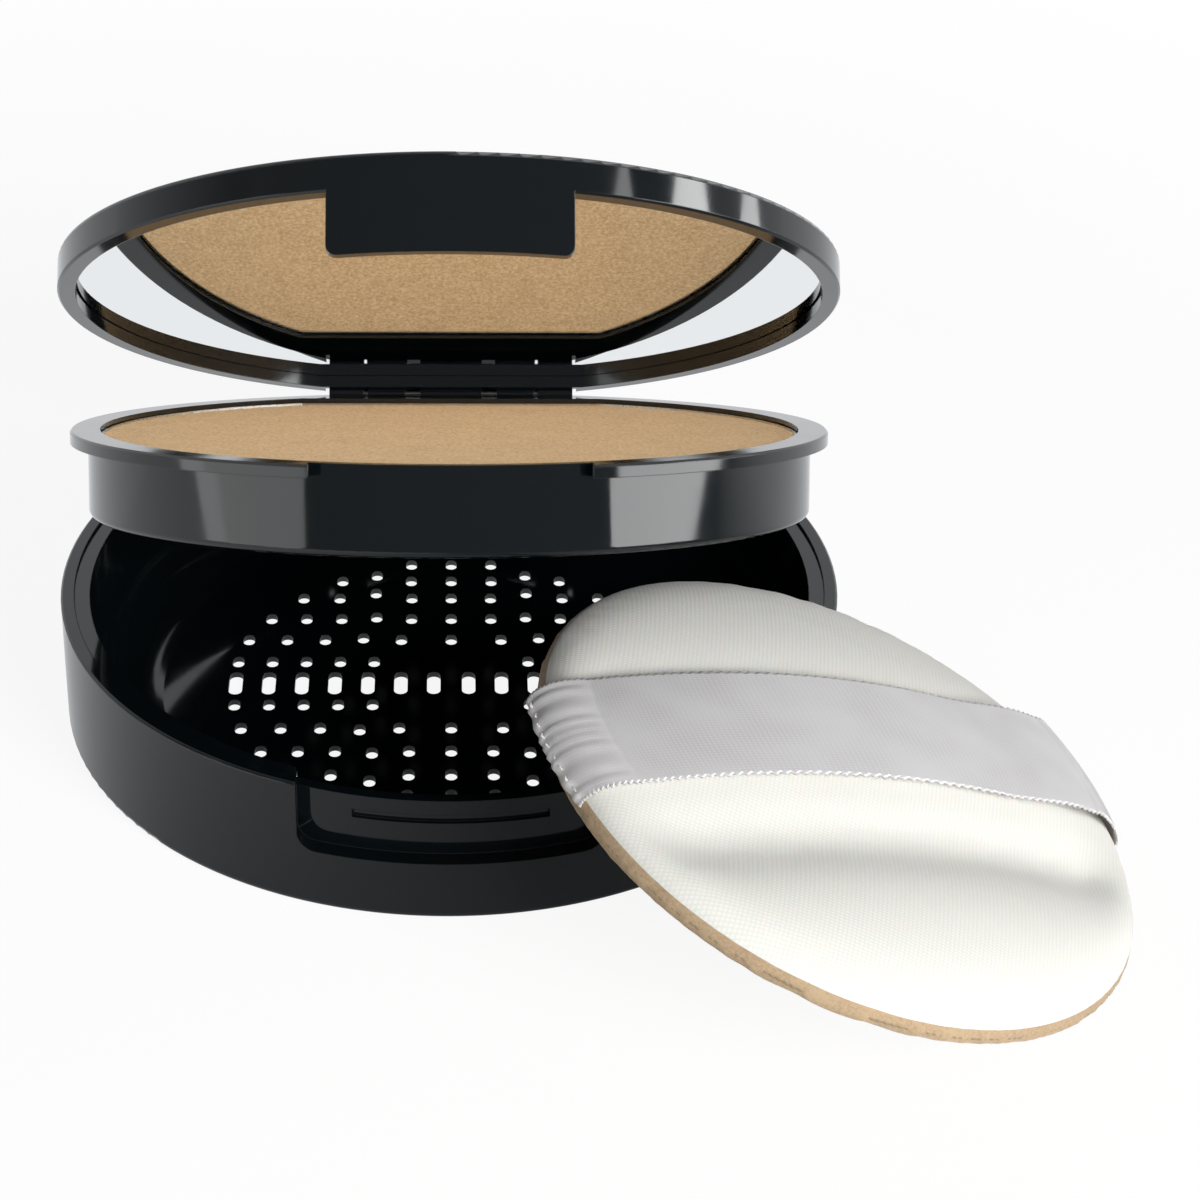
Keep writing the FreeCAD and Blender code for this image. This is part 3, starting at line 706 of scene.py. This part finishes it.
class COMPACT_OT_puff_pad(Operator):
    """Make the puff's stuffed body: white knitted back and beige velour face"""

    bl_idname = "compact.puff_pad"
    bl_label = "Puff pad"

    def execute(self, context):
        pad = swollen_pad()
        back = half_pad(pad, "puff_back", True, cotton_knit())
        face = half_pad(pad, "puff_face", False, velour())
        bpy.data.meshes.remove(pad)
        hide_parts("puff_back_cover", "puff_foam")
        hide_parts("puff_face_cover")
        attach(back, "puff")
        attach(face, "puff")
        return {"FINISHED"}


class COMPACT_OT_puff_seam(Operator):
    """Make the whipped seam round the puff's edge"""

    bl_idname = "compact.puff_seam"
    bl_label = "Edge seam"

    def execute(self, context):
        """A ring of radius R with a round section a; the section swells and leans with each
        turn of thread: a(1 + 0.16 cos(n t + p)) at angle t round the ring, p in the section."""
        puff = context.scene.compact_puff
        rows, columns = puff.whips * 6, 10
        t = np.linspace(0, 2 * math.pi, rows, endpoint=False)[:, None]
        p = np.linspace(0, 2 * math.pi, columns, endpoint=False)[None, :]
        section = puff.seam_radius * (1 + 0.16 * np.cos(puff.whips * t + p))
        out = puff.radius - puff.inset + section * np.cos(p)
        ring = np.stack([out * np.cos(t), out * np.sin(t),
                         puff.seam + section * np.sin(p)], -1)
        quads = grid_faces(rows + 1, columns, closed=True)
        quads = np.where(quads >= rows * columns, quads - rows * columns, quads)
        seam = new_piece("puff_seam", in_place(ring.reshape(-1, 3)), quads,
                         sewing_thread("seam_thread_twisted", puff.piping))
        face_outwards(seam)
        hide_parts("puff_edge_seam")
        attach(seam, "puff")
        return {"FINISHED"}


def strap_points(along, over, gap):
    """Points of the strap in the puff's frame: it follows the back at the given gap, bows up a
    little in its middle, stands off near its lower end before it turns down to the seam, and
    puckers at its upper end."""
    puff = bpy.context.scene.compact_puff
    ribbon = bpy.context.scene.compact_ribbon
    inset, short = -gap, 0.02 * MM
    bow_ends, lift_on, lift_off, pucker_on = (0.8, 1.0), (0.45, 0.8), (0.86, 0.985), (0.8, 0.92)
    pucker_width, pucker_vary = 1.4 * MM, 1.1 * MM
    end = np.sqrt((puff.radius - inset) ** 2 - over**2) - short
    u = end * np.sin(along * math.pi / 2)
    z = back_height(np.hypot(u, over), inset)
    near = np.abs(u) / end
    z = z + ribbon.bow * (1 - near**2) * (1 - smooth_step(near, *bow_ends))
    z = z + ribbon.lift * smooth_step(u / end, *lift_on) * (1 - smooth_step(u / end, *lift_off))
    c, s = math.cos(ribbon.turn), math.sin(ribbon.turn)
    waves = np.sin(2 * math.pi * over / pucker_width + 2.5 * np.sin(over / pucker_vary))
    u = u - ribbon.crumple * (0.5 + 0.5 * waves) * smooth_step(-u / end, *pucker_on)
    laid = swell_edge(np.stack([u, over + 0 * u, z], -1))
    u, v = laid[..., 0], laid[..., 1] + ribbon.offset
    return np.stack([u * c - v * s, u * s + v * c, z], -1)


class COMPACT_OT_ribbon(Operator):
    """Make the satin finger strap with its looped edges, and its stitches"""

    bl_idname = "compact.ribbon"
    bl_label = "Ribbon"

    def execute(self, context):
        """The strap is a grid: along it from -1 to 1, and across it from edge to edge, whose
        outermost rows wave in and out with the loops of the woven edge."""
        puff = context.scene.compact_puff
        ribbon = context.scene.compact_ribbon
        rows, columns = 420, 47
        along = np.linspace(-1, 1, rows)[:, None]
        over = np.linspace(-1, 1, columns)[None, :]
        over = np.sign(over) * np.abs(over) ** 0.9 * np.ones_like(along)
        run = along * puff.radius * 1.12
        waves = np.sin(2 * math.pi * run / ribbon.picot_pitch)
        edge = smooth_step(np.abs(over), 0.93, 1.0) * np.sign(over)
        v = over * (ribbon.half - ribbon.picot) + edge * ribbon.picot * waves
        points = strap_points(along + 0 * over, v, ribbon.gap)
        strap = new_piece("puff_strap", in_place(points.reshape(-1, 3)),
                          grid_faces(rows, columns), satin())
        cloth = strap.data.uv_layers.new(name="cloth")
        corner = np.empty(len(strap.data.loops), dtype=np.int32)
        strap.data.loops.foreach_get("vertex_index", corner)
        laid = np.stack([v, run + 0 * v], -1).reshape(-1, 2)
        cloth.data.foreach_set("uv", laid[corner].ravel())
        thick = strap.modifiers.new("cloth", "SOLIDIFY")
        thick.thickness, thick.offset = ribbon.thickness, 0
        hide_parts("puff_ribbon")
        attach(strap, "puff")
        stitch_rows()
        return {"FINISHED"}


def stitch_rows():
    """Two short rows of stitches that fix the strap.  Each stitch is a bent thread: a tube of
    radius q along an arc that dips into the cloth at both ends, z = h (1 - s^2)."""
    ribbon = bpy.context.scene.compact_ribbon
    count, rows, columns = ribbon.stitches, 7, 8
    first, half, thread = 0.925, 0.33 * MM, 0.11 * MM
    middle = np.linspace(-0.78, 0.78, count) * ribbon.half
    s = np.linspace(-1, 1, rows)
    p = np.linspace(0, 2 * math.pi, columns, endpoint=False)
    points, faces = [], []
    for side in (-1, 1):
        over = middle[:, None] + s[None, :] * half
        spine = strap_points(np.full_like(over, side * first), over, ribbon.gap)
        outer = strap_points(np.full_like(over, side * first), over,
                             ribbon.gap + ribbon.thickness)
        out = outer - spine
        out /= np.linalg.norm(out, axis=-1, keepdims=True)
        run = np.gradient(spine, axis=1)
        run /= np.linalg.norm(run, axis=-1, keepdims=True)
        wide = np.cross(out, run)
        rise = (1 - s**2)[None, :, None] * 0.1 * MM + ribbon.thickness * 0.5
        spine = spine + out * rise
        thin = thread * np.sqrt(np.clip(1 - s**6, 0.02, 1))[None, :, None, None]
        ring = spine[:, :, None, :] + thin * (out[:, :, None, :] * np.cos(p)[:, None]
                                              + wide[:, :, None, :] * np.sin(p)[:, None])
        base = sum(len(part) for part in points)
        one = grid_faces(rows, columns, closed=True)
        points.append(ring.reshape(-1, 3))
        faces += [(one + base + i * rows * columns).tolist() for i in range(count)]
        ends = np.arange(columns)
        for i in range(count):
            start = base + i * rows * columns
            faces.append([(ends[::-1] + start).tolist(),
                          (ends + start + (rows - 1) * columns).tolist()])
    flat = [face for group in faces for face in group]
    mesh = bpy.data.meshes.new("strap_stitches")
    mesh.from_pydata(in_place(np.concatenate(points)).tolist(), [], flat)
    mesh.shade_smooth()
    mesh.materials.append(sewing_thread("white_thread_twisted", ribbon.thread))
    stitches = bpy.data.objects.new("strap_stitches", mesh)
    bpy.context.scene.collection.objects.link(stitches)
    face_outwards(stitches)
    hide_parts("ribbon_stitches")
    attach(stitches, "puff")


# ---- hard parts ---------------------------------------------------------------------------
class COMPACT_OT_case(Operator):
    """Give the case, the hinge pin, the pan, the powder and the mirror their finishes"""

    bl_idname = "compact.case"
    bl_label = "Case"

    def execute(self, context):
        finish = context.scene.compact_finish
        plastic = gloss_abs()
        glue = cured_glue()
        finishes = {
            "base_tray": plastic, "powder_frame": plastic, "lid_shell": plastic,
            "hinge_pin": metal("steel_drawn", finish.pin, 0.28, 0.2 * MM),
            "powder_pan": metal("aluminium_pressed", finish.pan, 0.3, 0.25 * MM),
            "mirror_glass": silvered_glass(), "mirror_glue": glue, "pan_glue": glue,
            "powder_cake": pressed_powder(),
        }
        for node, material in finishes.items():
            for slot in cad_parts[node].material_slots:
                slot.material = material
        return {"FINISHED"}


# ---- studio -------------------------------------------------------------------------------
SOFTBOX_AWAY = 0.5              # distance of the softboxes from the object
SQUARE_SIDE = 0.3               # side of the square lights


def aimed(data, place, target):
    """A lamp at a place, turned towards a target."""
    lamp = bpy.data.objects.new(data.name, data)
    lamp.location = place
    lamp.rotation_euler = (Vector(target) - lamp.location).to_track_quat("-Z", "Y").to_euler()
    bpy.context.scene.collection.objects.link(lamp)
    return lamp


def softbox(name, azimuth, low, high, width, radiance):
    """A rectangular light, seen only in reflections, that faces the object.  azimuth is in
    degrees from the front.  Its power follows from its radiance: P = pi A L."""
    turn = math.radians(azimuth)
    middle = (low + high) / 2
    data = bpy.data.lights.new(name, "AREA")
    data.shape, data.size, data.size_y = "RECTANGLE", width, high - low
    data.energy = math.pi * width * (high - low) * radiance
    place = (math.sin(turn) * SOFTBOX_AWAY, -math.cos(turn) * SOFTBOX_AWAY, middle)
    aimed(data, place, (0, 0, middle)).visible_diffuse = False


def square_light(name, power, place, target):
    """A square light at a place, turned towards a target."""
    data = bpy.data.lights.new(name, "AREA")
    data.shape, data.size, data.energy = "SQUARE", SQUARE_SIDE, power
    return aimed(data, place, target)


def linked(name, node):
    """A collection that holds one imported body."""
    group = bpy.data.collections.new(name)
    group.objects.link(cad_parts[node])
    return group


def studio_lights():
    """A key light from the front right, softboxes for the plastic's reflections, and a soft
    light for the powder alone, so that the lid does not leave it in the dark."""
    studio = bpy.context.scene.compact_studio
    key = square_light("key", studio.key_power, (0.36, -0.54, 0.29), (0.02, 0, 0.02))
    key.visible_glossy = False
    powder = square_light("powder_light", studio.powder_power, (-0.1, -0.25, 0.55), (0, 0, 0.02))
    links = powder.light_linking
    links.receiver_collection = linked("lit_by_powder_light", "powder_cake")
    links.blocker_collection = linked("shades_powder_light", "powder_frame")
    softbox("left_low", -66, 0.002, 0.16, 0.40, 1.9)
    softbox("left_high", -66.5, 0.16, 0.40, 0.13, 1.1)
    softbox("right_low", 78, 0.002, 0.16, 0.55, 6.5)
    softbox("right_mid", 62, 0.16, 0.48, 0.176, 3.7)
    softbox("right_high", 82, 0.16, 0.32, 0.176, 11.0)


def seen_directly(tree, path):
    """1 for rays from the camera or through glass."""
    return add(tree, "ShaderNodeMath", {0: (path, "Is Camera Ray"),
                                        1: (path, "Is Transmission Ray")}, operation="MAXIMUM")


def surroundings():
    """White to the camera, an even fill for diffuse surfaces, and for reflections bright behind
    the object and dark in front of it."""
    studio = bpy.context.scene.compact_studio
    world = bpy.data.worlds.new("studio")
    world.use_nodes = True
    tree = world.node_tree
    tree.nodes.clear()
    direction = add(tree, "ShaderNodeTexCoord")
    split = add(tree, "ShaderNodeSeparateXYZ", {0: (direction, "Generated")})
    mirrored = add(tree, "ShaderNodeMapRange", {"Value": (split, "Y"), 1: -0.1, 2: 0.5,
                                                3: 0.2, 4: 0.9})
    path = add(tree, "ShaderNodeLightPath")
    lit = add(tree, "ShaderNodeMix", {0: (path, "Is Glossy Ray"), 2: studio.fill,
                                      3: (mirrored, 0)}, data_type="FLOAT")
    level = add(tree, "ShaderNodeMix", {0: (seen_directly(tree, path), 0), 2: (lit, 0),
                                        3: 1.0}, data_type="FLOAT")
    tint = add(tree, "ShaderNodeMix", {0: (path, "Is Glossy Ray"), 6: (1, 1, 1, 1),
                                       7: studio.cool}, data_type="RGBA")
    background = add(tree, "ShaderNodeBackground", {"Color": (tint, 2), "Strength": (level, 0)})
    sky = add(tree, "ShaderNodeOutputWorld")
    tree.links.new(background.outputs[0], sky.inputs[0])
    bpy.context.scene.world = world


def paper_floor():
    """Matt paper floor.  The camera sees it nearly white with a faint shadow; reflections see
    it bright behind the object and dark in front of it, as with a black card by the lens."""
    studio = bpy.context.scene.compact_studio
    material, tree, output = start_material("paper_matt")
    place = add(tree, "ShaderNodeTexCoord")
    split = add(tree, "ShaderNodeSeparateXYZ", {0: (place, "Object")})
    away = add(tree, "ShaderNodeVectorMath", {0: (place, "Object")}, operation="LENGTH")
    fibres = add(tree, "ShaderNodeTexNoise", {"Vector": (place, "Object"), "Scale": 1 / (2 * MM),
                                              "Detail": 3.0})
    bump = add(tree, "ShaderNodeBump", {"Height": (fibres, 0), "Strength": 0.1,
                                        "Distance": 0.05 * MM})
    paper = add(tree, "ShaderNodeBsdfDiffuse", {"Color": studio.paper, "Normal": (bump, 0)})
    shade = add(tree, "ShaderNodeBsdfDiffuse", {"Color": (0.13, 0.13, 0.13, 1)})
    seen = add(tree, "ShaderNodeMapRange", {"Value": (away, "Value"), 1: 0.1, 2: 0.35, 3: 0.91,
                                            4: 1.0})
    white = add(tree, "ShaderNodeEmission", {"Strength": (seen, 0)})
    camera_view = add(tree, "ShaderNodeAddShader", {0: (white, 0), 1: (shade, 0)})
    mirrored = add(tree, "ShaderNodeMapRange", {"Value": (split, "Y"), 1: -30 * MM, 2: 25 * MM,
                                                3: 0.24, 4: 0.92})
    to_left = add(tree, "ShaderNodeMapRange", {"Value": (split, "X"), 1: 10 * MM, 2: -60 * MM,
                                               3: 0.24, 4: 0.85})
    brighter = add(tree, "ShaderNodeMath", {0: (mirrored, 0), 1: (to_left, 0)},
                   operation="MAXIMUM")
    glow = add(tree, "ShaderNodeEmission", {"Color": studio.cool, "Strength": (brighter, 0)})
    path = add(tree, "ShaderNodeLightPath")
    first = add(tree, "ShaderNodeMixShader", {0: (path, "Is Glossy Ray"), 1: (paper, 0),
                                              2: (glow, 0)})
    final = add(tree, "ShaderNodeMixShader", {0: (seen_directly(tree, path), 0), 1: (first, 0),
                                              2: (camera_view, 0)})
    tree.links.new(final.outputs[0], output.inputs[0])
    return material


class COMPACT_OT_studio(Operator):
    """Set up the floor, the lights, the surroundings and the camera"""

    bl_idname = "compact.studio"
    bl_label = "Studio"

    def execute(self, context):
        scene = context.scene
        studio = scene.compact_studio
        reach = 3.0     # half the floor's width
        corners = np.array([[-reach, -reach, 0], [reach, -reach, 0], [reach, reach, 0],
                            [-reach, reach, 0]])
        floor = new_piece("floor", corners, np.array([[0, 1, 2, 3]]), paper_floor())
        studio_lights()
        surroundings()
        scene.view_settings.view_transform = "Standard"

        lens = bpy.data.cameras.new("camera")
        lens.lens, lens.sensor_width = studio.lens, 36
        lens.clip_start, lens.clip_end = 0.01, 20
        camera = bpy.data.objects.new("camera", lens)
        camera.location, camera.rotation_euler = studio.eye, studio.aim
        scene.collection.objects.link(camera)
        scene.camera = camera
        return {"FINISHED"}


class COMPACT_PT_panel(Panel):
    """Lists the parts of the compact that can be made"""

    bl_idname = "COMPACT_PT_panel"
    bl_label = "Powder compact"
    bl_space_type = "VIEW_3D"
    bl_region_type = "UI"
    bl_category = "Compact"

    def draw(self, context):
        for operator in STEPS:
            self.layout.operator(operator.bl_idname)


STEPS = (COMPACT_OT_studio, COMPACT_OT_case, COMPACT_OT_puff_pad, COMPACT_OT_puff_seam,
         COMPACT_OT_ribbon)
GROUPS = {"compact_finish": CompactFinish, "compact_puff": PuffShape,
          "compact_ribbon": RibbonShape, "compact_studio": StudioSetup}
CLASSES = (*GROUPS.values(), *STEPS, COMPACT_PT_panel)


def register():
    for cls in CLASSES:
        bpy.utils.register_class(cls)
    for name, group in GROUPS.items():
        setattr(bpy.types.Scene, name, PointerProperty(type=group))


def unregister():
    for name in GROUPS:
        delattr(bpy.types.Scene, name)
    for cls in reversed(CLASSES):
        bpy.utils.unregister_class(cls)


def main():
    register()
    bpy.ops.compact.studio()
    bpy.ops.compact.case()
    bpy.ops.compact.puff_pad()
    bpy.ops.compact.puff_seam()
    bpy.ops.compact.ribbon()


if __name__ == "__main__":
    main()
